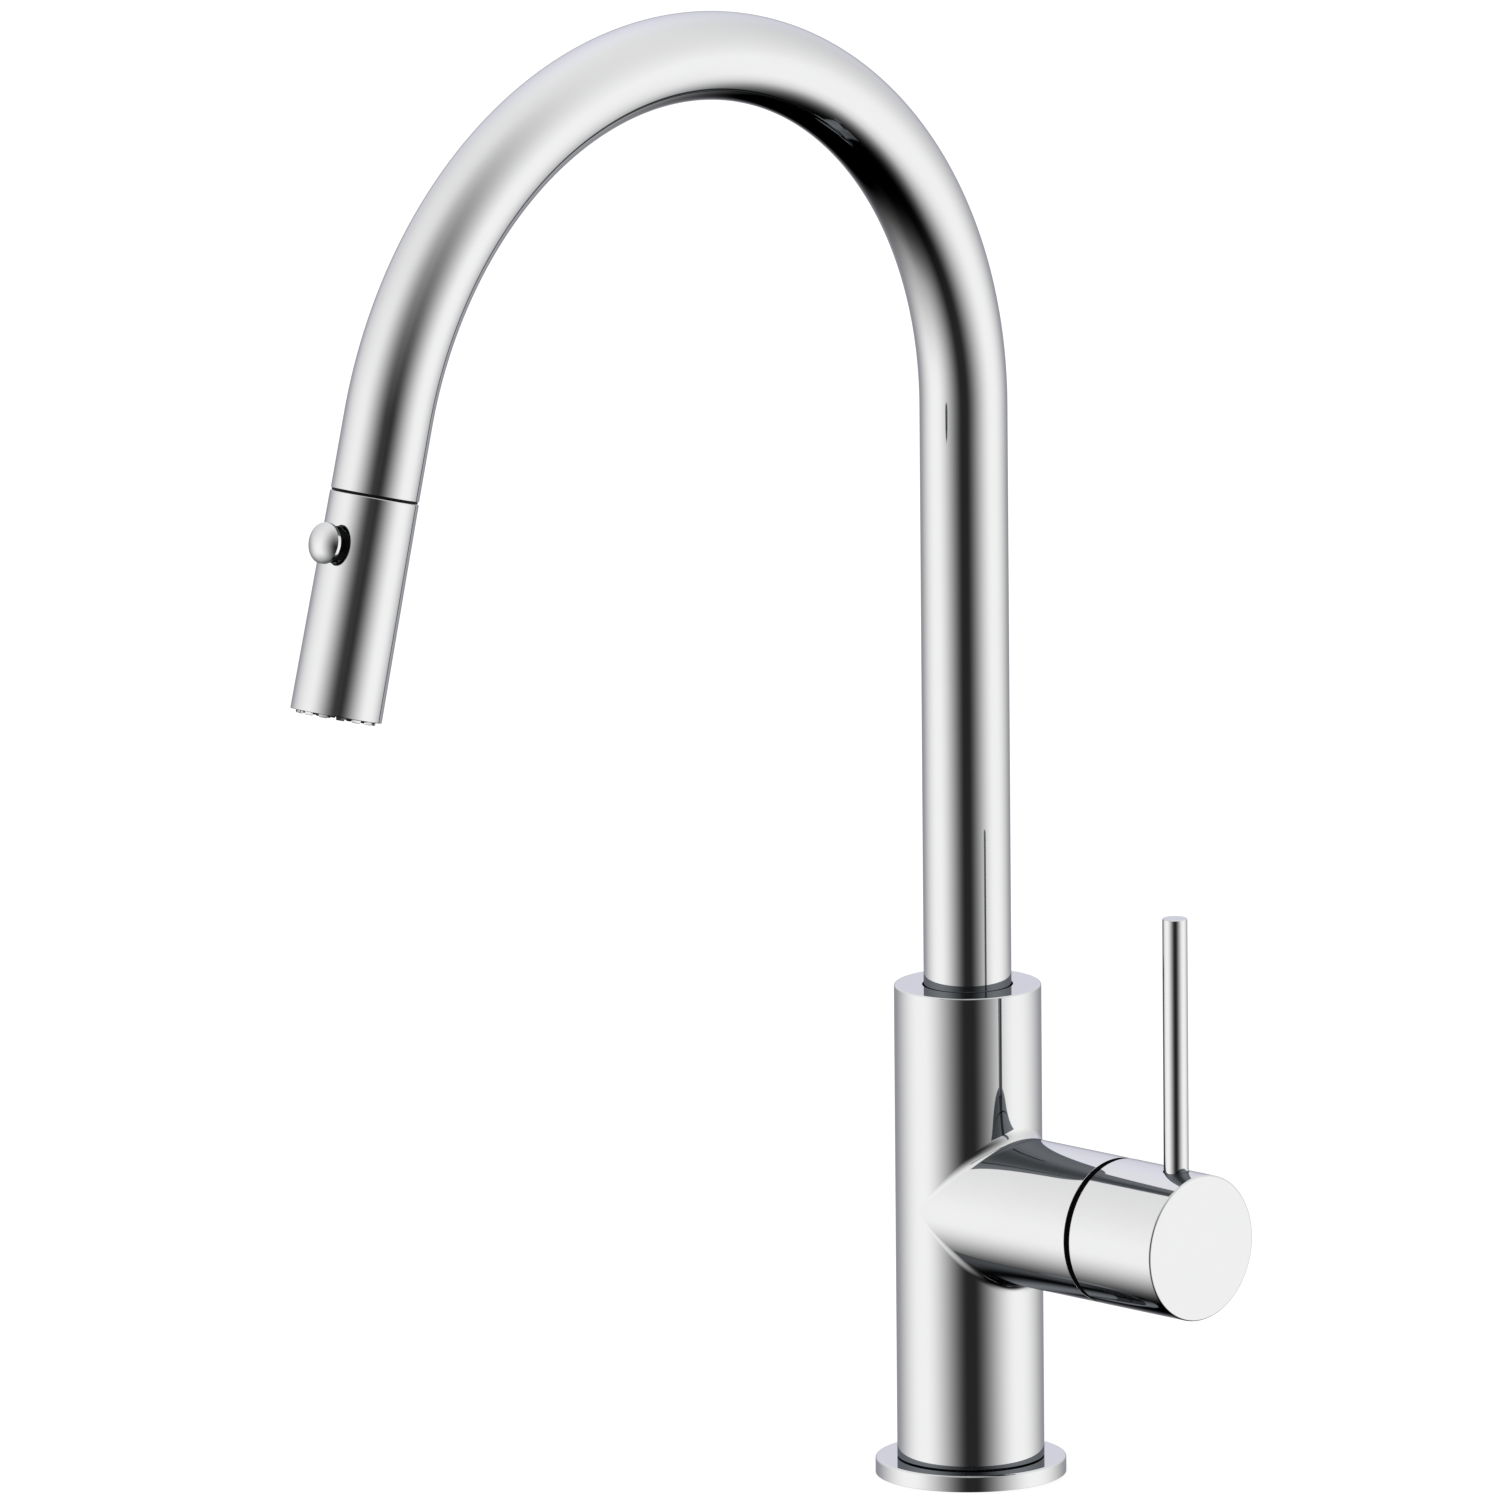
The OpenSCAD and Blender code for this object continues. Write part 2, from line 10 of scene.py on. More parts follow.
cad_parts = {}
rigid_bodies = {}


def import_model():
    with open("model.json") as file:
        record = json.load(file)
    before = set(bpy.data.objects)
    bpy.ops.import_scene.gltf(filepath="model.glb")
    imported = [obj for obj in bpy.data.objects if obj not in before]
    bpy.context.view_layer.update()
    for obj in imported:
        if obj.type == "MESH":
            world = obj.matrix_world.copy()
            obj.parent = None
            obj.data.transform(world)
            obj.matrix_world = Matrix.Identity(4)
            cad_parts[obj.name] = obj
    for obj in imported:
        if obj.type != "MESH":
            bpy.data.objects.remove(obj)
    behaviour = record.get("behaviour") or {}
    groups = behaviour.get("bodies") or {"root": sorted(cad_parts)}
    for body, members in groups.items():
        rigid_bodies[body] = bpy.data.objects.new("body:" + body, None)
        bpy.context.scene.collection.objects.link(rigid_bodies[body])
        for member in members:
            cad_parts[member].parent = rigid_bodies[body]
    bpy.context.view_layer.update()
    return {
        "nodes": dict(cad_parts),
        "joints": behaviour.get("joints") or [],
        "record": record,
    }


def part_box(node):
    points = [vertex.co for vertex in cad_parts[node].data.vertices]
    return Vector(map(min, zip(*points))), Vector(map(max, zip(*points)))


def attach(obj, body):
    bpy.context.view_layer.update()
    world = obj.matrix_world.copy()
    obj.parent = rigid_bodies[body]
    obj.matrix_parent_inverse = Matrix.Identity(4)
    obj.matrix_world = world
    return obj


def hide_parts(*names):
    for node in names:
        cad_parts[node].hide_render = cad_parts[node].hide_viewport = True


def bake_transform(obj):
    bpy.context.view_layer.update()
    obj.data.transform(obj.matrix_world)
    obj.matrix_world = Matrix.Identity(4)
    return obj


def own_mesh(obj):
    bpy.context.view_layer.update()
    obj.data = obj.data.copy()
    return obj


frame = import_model()

# ---------------------------------------------------------------- sizes

MM = 0.001
SIDES = 256                     # facets round a chrome piece; its normals are exact
LONGEST = 4.0                   # longest step up a turned wall
EDGE_ANGLE = math.radians(35)   # a sharper fold than this is an edge
WELD = 2e-4                     # points in one cell of this size, in millimetres, become one

JOINT = {j["name"]: j for j in frame["joints"]}


def size_of(node, axis, end=1):
    """A CAD node's box corner along one axis, in millimetres, to a hundredth."""
    return round(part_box(node)[end][axis] / MM, 2)


# column and side branch
BODY_R = size_of("body_casting", 1)
BODY_TOP = size_of("body_casting", 2)
BODY_FOOT = size_of("body_casting", 2, 0)
BRANCH_END = size_of("body_casting", 0)
BRANCH_Z = round(JOINT["flow_tilt"]["pos_m"][2] / MM, 2)
GROOVE = 0.35                   # height of the shadow groove over the flange
FOOT_R = BODY_R - 2             # radius of the column inside that groove
FILLET = 3.8                    # rolling ball fillet between column and branch
TOP_BORE = 14.45
CAVITY = 19.6                   # radius of the hollow in the column
CAVITY_Z = (20, 151.5)
SHANK_R = 16.5
POCKET = ((17.6, 26), (20.7, 53))   # the cartridge's pocket and its thread: radius, start

# gooseneck
TUBE_R = size_of("spout_tube", 0)
TUBE_LOW = size_of("spout_tube", 2, 0)
TUBE_WALL = 1.2
TUBE_IN = TUBE_R - TUBE_WALL
BEND_Z = 347.5
BEND_R = round(size_of("spout_tube", 2) - TUBE_R - BEND_Z, 1)
OUT = Vector(JOINT["wand_pull"]["axis"])          # out of the spout's end
BEND = math.acos(OUT.z)                           # angle that the bend turns through
DOCK = Vector((0, BEND_R * (math.cos(BEND) - 1), BEND_Z + BEND_R * math.sin(BEND))) * MM   # its end
SEAT = 23.8                     # length of straight tube after the bend

# spray head, measured out of the bend's end
HEAD = (24.6, 94)               # its top and bottom
HEAD_R = (14.1, 14.5)           # its outer radius there
HEAD_IN = 12.4
NECK_IN = 9.5                   # the opening in its top wall
TOP_WALL = 1.5
FACE_IN = 12.9
FACE_S = 88                     # the ledge that the face ring rests on

# diverter, measured along its own axis from the head's
KNOB_S = 41.2                   # where that axis crosses the head's
KNOB_R = 6.5
KNOB_HOLE = 5.8
KNOB_UNDER = 17.55              # underside of the knob's cap
SPOOL_R = 2.2
SPOOL_END = (-5.8, 11.8)
SPOOL_BORE_END = -10.6

# hose
HOSE_R = 5.5
HOSE_BORE = 3.5
STRANDS = 10                    # threads of each hand round the hose's braid
LAY = 34.0                      # length in which a thread goes once round
PULL = JOINT["wand_pull"]["range_m"][1] / MM

# lever
PIVOT_X = round(JOINT["flow_tilt"]["pos_m"][0] / MM, 2)
CAP = (size_of("handle_cap", 0, 0), size_of("handle_cap", 0))
CAP_IN = 20.6
PIN_R = size_of("lever_pin", 1)
PIN_X = round(size_of("lever_pin", 0) - PIN_R, 2)
PIN_TOP = size_of("lever_pin", 2)
PIN_FOOT = BRANCH_Z + 11.6      # where the pin's full diameter begins
STUD_R = 2.45
STUD_LENGTH = 7
PLUG_X = 80
PLUG_R = 3.5

# frames: each maps a piece's own millimetres to the model's metres
SCALE = Matrix.Scale(MM, 4)
UPRIGHT = SCALE
ALONG_BRANCH = Matrix.Translation((0, 0, BRANCH_Z * MM)) @ Matrix.Rotation(math.pi / 2, 4, "Y") @ SCALE
AT_DOCK = Matrix.Translation(DOCK) @ Matrix.Rotation(BEND, 4, "X") @ SCALE
AT_KNOB = AT_DOCK @ Matrix.Translation((0, 0, KNOB_S)) @ Matrix.Rotation(-math.pi / 2, 4, "X")


# ---------------------------------------------------------------- shader nodes

class Graph:
    """Builds a node tree with plain calls; each call returns the new node's first output."""

    def __init__(self, owner):
        owner.use_nodes = True
        self.tree = owner.node_tree
        self.tree.nodes.clear()

    def node(self, kind, inputs=None, output=0, **settings):
        made = self.tree.nodes.new(kind)
        for key, value in settings.items():
            setattr(made, key, value)
        for key, value in (inputs or {}).items():
            if isinstance(value, bpy.types.NodeSocket):
                self.tree.links.new(value, made.inputs[key])
            else:
                made.inputs[key].default_value = value
        return made.outputs[output] if len(made.outputs) else made

    def math(self, operation, *values, clamp=False):
        return self.node("ShaderNodeMath", dict(enumerate(values)), operation=operation, use_clamp=clamp)

    def dot(self, a, b):
        return self.node("ShaderNodeVectorMath", {0: a, 1: b}, output="Value", operation="DOT_PRODUCT")

    def noise(self, vector, scale, detail=2.0):
        return self.node("ShaderNodeTexNoise", {"Vector": vector, "Scale": scale, "Detail": detail})

    def remap(self, value, low, high, to_low, to_high, smooth=False):
        kind = "SMOOTHSTEP" if smooth else "LINEAR"
        return self.node("ShaderNodeMapRange", {"Value": value, "From Min": low, "From Max": high,
                                                "To Min": to_low, "To Max": to_high},
                         interpolation_type=kind)

    def mix(self, factor, a, b):
        made = self.tree.nodes.new("ShaderNodeMix")
        made.data_type = "RGBA"
        for socket, value in ((made.inputs[0], factor), (made.inputs[6], a), (made.inputs[7], b)):
            if isinstance(value, bpy.types.NodeSocket):
                self.tree.links.new(value, socket)
            else:
                socket.default_value = value
        return made.outputs[2]

    def bump(self, height, distance, strength=1.0):
        return self.node("ShaderNodeBump", {"Height": height, "Distance": distance, "Strength": strength})


def rgb(r, g, b):
    return (r, g, b, 1.0)


def surface(name, build):
    """A material whose Principled shader gets what build(graph, position) returns."""
    material = bpy.data.materials.new(name)
    graph = Graph(material)
    position = graph.node("ShaderNodeTexCoord", output="Object")
    shader = graph.node("ShaderNodeBsdfPrincipled", build(graph, position))
    graph.node("ShaderNodeOutputMaterial", {"Surface": shader})
    return material


# ---------------------------------------------------------------- materials

def chrome(graph, position):
    """Mirror polished plate: faint polishing waves, and a little haze that varies over the piece."""
    haze = graph.noise(position, 60.0, 3.0)
    wave = graph.noise(position, 25.0, 1.0)
    return {
        "Metallic": 1.0,
        "Base Color": graph.mix(haze, rgb(0.885, 0.888, 0.892), rgb(0.905, 0.908, 0.912)),
        "Roughness": graph.remap(haze, 0.3, 0.7, 0.025, 0.05),
        "Normal": graph.bump(wave, 0.00002, 0.3),
    }


def plastic(color, roughness, grain=2500.0, depth=0.00003, specular=0.5):
    """Moulded plastic: a fine eroded grain with slow changes of gloss."""
    def build(graph, position):
        fine = graph.noise(position, grain, 3.0)
        slow = graph.noise(position, 90.0, 2.0)
        lighter = rgb(*(min(1.0, c * 1.3 + 0.001) for c in color))
        return {
            "Base Color": graph.mix(fine, rgb(*color), lighter),
            "Roughness": graph.remap(slow, 0.3, 0.7, roughness - 0.07, roughness + 0.07),
            "Specular IOR Level": specular,
            "Normal": graph.bump(fine, depth, 0.5),
        }
    return build


def turned_metal(color, tint, roughness, stretch):
    """Metal off a lathe: fine tool marks across the axis, and a slow tarnish between two colours."""
    def build(graph, position):
        squeezed = graph.node("ShaderNodeMapping", {"Vector": position, "Scale": stretch})
        marks = graph.noise(squeezed, 1.0, 4.0)
        tarnish = graph.noise(position, 55.0, 4.0)
        return {
            "Metallic": 1.0,
            "Base Color": graph.mix(tarnish, rgb(*color), rgb(*tint)),
            "Roughness": graph.remap(marks, 0.3, 0.7, roughness - 0.08, roughness + 0.1),
            "Normal": graph.bump(marks, 0.00003, 0.6),
        }
    return build


def ceramic(graph, position):
    """Lapped alumina: fine grains with a satin face."""
    grain = graph.noise(position, 1800.0, 3.0)
    return {
        "Base Color": graph.mix(grain, rgb(0.86, 0.83, 0.77), rgb(0.93, 0.91, 0.87)),
        "Roughness": graph.remap(grain, 0.3, 0.7, 0.18, 0.32),
        "Normal": graph.bump(grain, 0.00001, 0.4),
    }


def braid(graph, position):
    """Braided nylon: two sets of crossing threads, laid out on the hose's own UV map, with painted shade
    darkening the grooves between them.
    """
    threads = graph.node("ShaderNodeUVMap", uv_map="hose")
    split = graph.tree.nodes.new("ShaderNodeSeparateXYZ")
    graph.tree.links.new(threads, split.inputs[0])
    around, along = split.outputs[0], split.outputs[1]
    waves = []
    for hand in (-1.0, 1.0):
        phase = graph.math("MULTIPLY_ADD", along, hand, around)
        waves.append(graph.math("SINE", graph.math("MULTIPLY", phase, 2 * math.pi * STRANDS)))
    height = graph.remap(graph.math("MAXIMUM", *waves), -1.0, 1.0, 0.0, 1.0)
    fuzz = graph.noise(position, 3000.0, 2.0)
    # painted shade: the colour goes dark from the threads' crests down into the grooves between them, with
    # random fuzz on top
    fuzz_and_groove_shade = graph.math("MULTIPLY_ADD", fuzz, 0.3, graph.math("MULTIPLY", height, 0.8))
    return {
        "Base Color": graph.mix(fuzz_and_groove_shade, rgb(0.05, 0.052, 0.055), rgb(0.3, 0.31, 0.32)),
        "Roughness": graph.remap(fuzz, 0.3, 0.7, 0.5, 0.7),
        "Normal": graph.bump(fuzz, 0.0001, 0.8),
    }


ALONG_Z = (400.0, 400.0, 9000.0)
MATERIALS = {
    "chrome": surface("chrome", chrome),
    "black_plastic": surface("black_plastic", plastic((0.004, 0.004, 0.005), 0.45, specular=0.08)),
    "grey_plastic": surface("grey_plastic", plastic((0.36, 0.37, 0.38), 0.45)),
    "rubber": surface("rubber", plastic((0.012, 0.012, 0.013), 0.62, 1400.0, 0.00005, 0.35)),
    "brass": surface("brass", turned_metal((0.74, 0.55, 0.27), (0.62, 0.44, 0.2), 0.28, ALONG_Z)),
    "copper": surface("copper", turned_metal((0.78, 0.42, 0.26), (0.55, 0.27, 0.16), 0.3, ALONG_Z)),
    "steel": surface("steel", turned_metal((0.58, 0.59, 0.6), (0.48, 0.49, 0.5), 0.3, ALONG_Z)),
    "ceramic": surface("ceramic", ceramic),
    "hose_braid": surface("hose_braid", braid),
}


# ---------------------------------------------------------------- mesh building

def full_turn(sides):
    """Angles all the way round, of which the last is exactly the first."""
    turn = np.linspace(0, 2 * math.pi, sides + 1)
    turn[-1] = 0
    return turn


class Skin:
    """Collects grids of points with their true normals, and makes one smooth mesh of them."""

    def __init__(self, matrix=UPRIGHT):
        self.matrix = np.array(matrix)
        self.points, self.normals, self.faces, self.uvs, self.count = [], [], [], [], 0

    def grid(self, points, normals, skip=None, uv=None):
        """Rows by columns of points; skip(row, column) leaves a cell out; uv is rows by columns too."""
        points, normals = np.asarray(points, float), np.asarray(normals, float)
        rows, columns = points.shape[:2]
        index = np.arange(rows * columns).reshape(rows, columns)
        cells = np.stack([index[:-1, :-1], index[:-1, 1:], index[1:, 1:], index[1:, :-1]], -1)
        if skip is not None:
            keep = [[not skip(r, c) for c in range(columns - 1)] for r in range(rows - 1)]
            cells = cells[np.array(keep)]
        cells = cells.reshape(-1, 4)
        flat, flat_normals = points.reshape(-1, 3), normals.reshape(-1, 3)
        corner = flat[cells]
        facing = np.cross(corner[:, 2] - corner[:, 0], corner[:, 3] - corner[:, 1])
        backwards = (facing * flat_normals[cells].sum(1)).sum(1) < 0
        cells[backwards] = cells[backwards][:, ::-1]
        self.points.append(flat)
        self.normals.append(flat_normals)
        self.faces.append(cells + self.count)
        self.uvs.append(np.zeros((len(flat), 2)) if uv is None else np.asarray(uv, float).reshape(-1, 2))
        self.count += len(flat)

    def lathe(self, runs, sides=SIDES):
        """Turns each run of (r, z) points, with its (r, z) normals, about the local Z axis."""
        turn = full_turn(sides)
        c, s = np.cos(turn), np.sin(turn)
        for outline, normal in runs:
            o, n = np.array(outline, float), np.array(normal, float)
            self.grid(np.stack([np.outer(o[:, 0], c), np.outer(o[:, 0], s),
                                np.repeat(o[:, 1:], len(c), 1)], -1),
                      np.stack([np.outer(n[:, 0], c), np.outer(n[:, 0], s),
                                np.repeat(n[:, 1:], len(c), 1)], -1))

    def join(self, other, matrix):
        """Takes another skin's grids in, moved by a rigid matrix."""
        matrix = np.array(matrix)
        self.points += [points @ matrix[:3, :3].T + matrix[:3, 3] for points in other.points]
        self.normals += [normals @ matrix[:3, :3].T for normals in other.normals]
        self.faces += [faces + self.count for faces in other.faces]
        self.uvs += other.uvs
        self.count += other.count

    def mesh(self, name, uv_name=None):
        """One welded mesh of all the grids, each face's corners with the normals that they came with."""
        points = np.concatenate(self.points)
        normals = np.concatenate(self.normals)
        faces = np.concatenate(self.faces)
        key, where = np.unique(np.round(points / WELD).astype(int), axis=0, return_inverse=True)
        first = np.zeros(len(key), int)
        first[where[::-1]] = np.arange(len(points))[::-1]
        welded = (np.c_[points[first], np.ones(len(first))] @ self.matrix.T)[:, :3]
        turned = normals @ self.matrix[:3, :3].T
        turned /= np.linalg.norm(turned, axis=1)[:, None]
        polygons, corners = [], []
        for face in faces:
            ring, kept = [], []
            for v in face:
                w = int(where[v])
                if w not in ring:
                    ring.append(w)
                    kept.append(v)
            if len(ring) > 2:
                polygons.append(ring)
                corners.extend(kept)
        made = bpy.data.meshes.new(name)
        made.from_pydata(welded.tolist(), [], polygons)
        made.shade_smooth()
        if uv_name:
            layer = made.uv_layers.new(name=uv_name)
            layer.data.foreach_set("uv", np.concatenate(self.uvs)[corners].ravel())
        made.normals_split_custom_set(turned[corners].tolist())
        return made

    def piece(self, name, slot, body, *nodes, uv_name=None):
        """The finished piece, in the scene, riding its body in place of the CAD nodes."""
        made = bpy.data.objects.new(name, self.mesh(name, uv_name))
        made.data.materials.append(MATERIALS[slot])
        bpy.context.scene.collection.objects.link(made)
        if nodes:
            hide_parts(*nodes)
        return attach(made, body) if body else made


def closed_loft(name, slot, body, node, matrix, loops):
    """A ring of equal closed loops joined into one mesh, smooth except at its edges."""
    count, size = len(loops), len(loops[0])
    points = [matrix @ Vector(p) for loop in loops for p in loop]
    faces = [(i * size + j, (i + 1) % count * size + j,
              (i + 1) % count * size + (j + 1) % size, i * size + (j + 1) % size)
             for i in range(count) for j in range(size)]
    mesh = bpy.data.meshes.new(name)
    mesh.from_pydata(points, [], faces)
    mesh.shade_smooth()
    mesh.set_sharp_from_angle(angle=EDGE_ANGLE)
    made = bpy.data.objects.new(name, mesh)
    mesh.materials.append(MATERIALS[slot])
    bpy.context.scene.collection.objects.link(made)
    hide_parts(node)
    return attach(made, body)


def outline(corners, closed=True, steps=6):
    """Runs along a profile of (r, z) or (r, z, fillet) corners, anticlockwise round the metal."""
    count = len(corners)
    xy = [np.array(c[:2], float) for c in corners]
    radius = [c[2] if len(c) > 2 else 0.0 for c in corners]
    runs, joins = [], []
    for i in range(count):
        if radius[i] == 0 or (not closed and i in (0, count - 1)):
            joins.append((xy[i], xy[i], None))
            continue
        before = xy[i - 1] - xy[i]
        after = xy[(i + 1) % count] - xy[i]
        before, after = before / np.linalg.norm(before), after / np.linalg.norm(after)
        half = math.acos(float(np.clip(before @ after, -1, 1))) / 2
        reach = radius[i] / math.tan(half)
        middle = (before + after) / np.linalg.norm(before + after) * radius[i] / math.sin(half) + xy[i]
        start, end = xy[i] + before * reach, xy[i] + after * reach
        outwards = 1.0 if before[0] * after[1] < before[1] * after[0] else -1.0
        spokes = [(start - middle) / radius[i], (end - middle) / radius[i]]
        turn = [slerp(spokes[0], spokes[1], k / steps) for k in range(steps + 1)]
        joins.append((start, end, ([middle + radius[i] * t for t in turn], [outwards * t for t in turn])))
    for i in range(count):
        if joins[i][2] is not None:
            runs.append(joins[i][2])
        if i == count - 1 and not closed:
            break
        start, end = joins[i][1], joins[(i + 1) % count][0]
        along = end - start
        length = np.linalg.norm(along)
        if length > 1e-6:
            normal = (along[1] / length, -along[0] / length)
            cuts = math.ceil(length / LONGEST) if abs(along[1]) > abs(along[0]) else 1
            runs.append(([start + along * k / cuts for k in range(cuts + 1)], [normal] * (cuts + 1)))
    return runs


def slerp(a, b, t):
    """Turns unit vector a towards b."""
    a, b = np.asarray(a, float), np.asarray(b, float)
    angle = math.acos(float(np.clip(a @ b, -1, 1)))
    if angle < 1e-6:
        return a
    return (math.sin((1 - t) * angle) * a + math.sin(t * angle) * b) / math.sin(angle)


def round_shell(skin, outer, inner, holes, rounding, sides=SIDES):
    """Outer and inner wall of a tube along local Z, with round side holes through both.

    outer and inner are ((r, z), (r, z)); a hole is (angle, z, radius). Each wall leaves out a
    window of its grid at each hole, which rings fill that change from the window's edge to the rim."""
    def radius_at(wall, z):
        (r0, z0), (r1, z1) = wall
        return r0 + (r1 - r0) * (z - z0) / (z1 - z0)

    def on_wall(wall, sign, turn, z):
        r = radius_at(wall, z)
        slope = (wall[1][0] - wall[0][0]) / (wall[1][1] - wall[0][1])
        normal = np.stack([np.cos(turn), np.sin(turn), -slope + 0 * turn], -1) * sign
        normal /= np.linalg.norm(normal, axis=-1)[..., None]
        return np.stack([r * np.cos(turn), r * np.sin(turn), z + 0 * turn], -1), normal

    step = 2 * math.pi / sides
    rows_in_window = 12
    margin = 1.2            # wall between a hole's rim and its window's edge
    for wall, sign in ((outer, 1), (inner, -1)):
        heights = {wall[0][1], wall[1][1]}
        windows = []
        for angle, z, radius in holes:
            reach = radius + 2 * rounding + margin
            heights.update(np.linspace(z - reach, z + reach, rows_in_window + 1))
            half = math.ceil(math.asin(reach / radius_at(wall, z)) / step)
            centre = round(angle / step)
            windows.append((centre - half, centre + half, z - reach, z + reach))
        heights = np.array(sorted(heights))
        turns = np.arange(sides + 1) * step
        turn_grid, z_grid = np.meshgrid(turns, heights)
        points, normals = on_wall(wall, sign, turn_grid, z_grid)
        points[:, -1] = points[:, 0]

        def inside(row, column):
            return any((column - left) % sides < right - left and low - 1e-6 <= heights[row] < high - 1e-6
                       for left, right, low, high in windows)
        skin.grid(points, normals, inside)

        for (angle, z, radius), (left, right, low, high) in zip(holes, windows):
            rows = heights[(heights > low - 1e-6) & (heights < high + 1e-6)]
            across = [k * step for k in range(left, right + 1)]
            edge = ([(t, low) for t in across[:-1]] + [(across[-1], h) for h in rows[:-1]]
                    + [(t, high) for t in across[:0:-1]] + [(across[0], h) for h in rows[:0:-1]])
            edge = np.array(edge + edge[:1])
            wall_r = radius_at(wall, z)
            spin = np.arctan2(edge[:, 1] - z, wall_r * np.sin(edge[:, 0] - angle))
            rim = rounding if sign > 0 else 0.0
            side = (radius + rim) * np.cos(spin)
            up = z + (radius + rim) * np.sin(spin)
            rim_turn = angle + np.arcsin(side / (radius_at(wall, up) - rim))
            spread = np.linspace(0, 1, 9)[:, None] ** 1.3
            turn = rim_turn + (edge[:, 0] - rim_turn) * spread
            height = up + (edge[:, 1] - up) * spread
            skin.grid(*on_wall(wall, sign, turn, height))
            if sign < 0:
                continue
            # the rounded rim, then the hole's wall down to the inner wall
            here, facing = on_wall(wall, sign, rim_turn, up)
            sideways = np.array([-math.sin(angle), math.cos(angle), 0])
            spoke = np.outer(np.cos(spin), sideways) + np.outer(np.sin(spin), [0, 0, 1])
            centre = here - rim * facing
            turned = np.array([[slerp(f, -s, t) for f, s in zip(facing, spoke)]
                               for t in np.linspace(0, 1, 6)])
            skin.grid(centre[None] + rim * turned, turned)
            top = centre - rim * spoke
            foot_r = radius_at(inner, z + radius * np.sin(spin))
            foot_turn = angle + np.arcsin(radius * np.cos(spin) / foot_r)
            foot = on_wall(inner, -1, foot_turn, z + radius * np.sin(spin))[0]
            skin.grid(np.stack([top, foot]), np.stack([-spoke, -spoke]))


# ---------------------------------------------------------------- column and branch

def base_flange():
    """Flange with a recess under it for the deck gasket."""
    skin = Skin()
    r, top = size_of("base_flange", 0), size_of("base_flange", 2)
    hole, recess, depth = SHANK_R + 0.75, (20, 28), 1.5
    skin.lathe(outline([
        (hole, 0), (recess[0], 0), (recess[0], depth), (recess[1], depth), (recess[1], 0),
        (r, 0, 0.1), (r, top, 0.8), (hole, top),
    ]))
    skin.piece("flange", "chrome", "body", "base_flange")


def body_casting():
    """Column and branch of one diameter, blended by a ball that rolls round where they meet."""
    r, ball = BODY_R, FILLET
    reach = r + ball
    foot = BODY_FOOT + GROOVE
    low, high = foot + 1, BODY_TOP - 1.5
    end = BRANCH_END - 1
    rows = 12
    skin = Skin()
    skin.lathe(outline([
        (r, high), (r, BODY_TOP, 0.6), (TOP_BORE, BODY_TOP, 0.25), (TOP_BORE, CAVITY_Z[1]),
        (CAVITY, CAVITY_Z[1]), (CAVITY, CAVITY_Z[0]), (SHANK_R, CAVITY_Z[0]), (SHANK_R, BODY_FOOT),
        (FOOT_R, BODY_FOOT), (FOOT_R, foot), (r, foot, 0.12), (r, low),
    ], closed=False))
    front = np.linspace(-math.pi / 2, math.pi / 2, SIDES // 2 + 1)
    back = np.linspace(math.pi / 2, 3 * math.pi / 2, SIDES // 2 + 1)
    c, s = np.cos(front), np.sin(front)

    def column(turn, z0, z1, steps):
        share = np.linspace(0, 1, steps)[:, None]
        flat = np.stack([np.cos(turn), np.sin(turn), 0 * turn], -1)
        points = np.repeat((flat * r)[None], steps, 0)
        points[..., 2] = z0 * (1 - share) + z1 * share
        skin.grid(points, np.repeat(flat[None], steps, 0))

    column(back, low + 0 * back, high + 0 * back, 2)
    column(front, BRANCH_Z + reach * c, high + 0 * c, rows)
    column(front, low + 0 * c, BRANCH_Z - reach * c, rows)
    for sign in (-1, 1):
        # the ball's centre runs at the same distance from both axes
        centre = np.stack([reach * c, reach * s, BRANCH_Z + sign * reach * c], -1)
        to_column = np.stack([-c, -s, 0 * c], -1)
        to_branch = np.stack([0 * c, -s, -sign * c], -1)
        spokes = np.array([[slerp(a, b, t) for a, b in zip(to_column, to_branch)]
                           for t in np.linspace(0, 1, 17)])
        skin.grid(centre[None] + ball * spokes, -spokes)
        # and the branch goes on from where the ball leaves it
        share = np.linspace(0, 1, rows)[:, None]
        x = reach * c * (1 - share) + end * share
        points = np.stack(np.broadcast_arrays(x, r * s, BRANCH_Z + sign * r * c), -1)
        skin.grid(points, np.repeat(np.stack([0 * c, s, sign * c], -1)[None], rows, 0))

    mouth = Skin()
    mouth.lathe(outline([
        (r, end), (r, BRANCH_END, 0.1), (POCKET[1][0], BRANCH_END, 0.2), POCKET[1],
        (POCKET[0][0], POCKET[1][1]), POCKET[0], (0, POCKET[0][1]),
    ], closed=False))
    skin.join(mouth, Matrix.Translation((0, 0, BRANCH_Z)) @ Matrix.Rotation(math.pi / 2, 4, "Y"))
    skin.piece("body_shell", "chrome", "body", "body_casting")


# ---------------------------------------------------------------- lever

def handle_cap():
    """Cup with a hub for the spindle, and side holes for the pin and for the plug opposite."""
    skin = Skin(ALONG_BRANCH)
    r = BODY_R
    low, high = CAP
    hub_x, hub_r, floor_x = 76.8, 13, high - 5.2
    mouth_depth, lip = 7, 0.7
    pin_room, plug_room = 0.22, 0.05
    outer = ((r, low + 1), (r, high - 1.5))
    inner = ((CAP_IN, low + mouth_depth), (CAP_IN, floor_x))
    skin.lathe(outline([outer[1], (r, high, 0.7), (0, high)], closed=False))
    skin.lathe(outline([
        inner[1], (hub_r, floor_x), (hub_r, hub_x, 0.3), (0, hub_x),
    ], closed=False))
    skin.lathe(outline([
        inner[0], (r - lip, low), (r, low, 0.1), outer[0],
    ], closed=False))
    holes = [(math.pi, PIN_X, PIN_R + pin_room), (0.0, PLUG_X, PLUG_R + plug_room)]
    round_shell(skin, outer, inner, holes, 0.12)
    skin.piece("lever_cap", "chrome", "lever", "handle_cap")


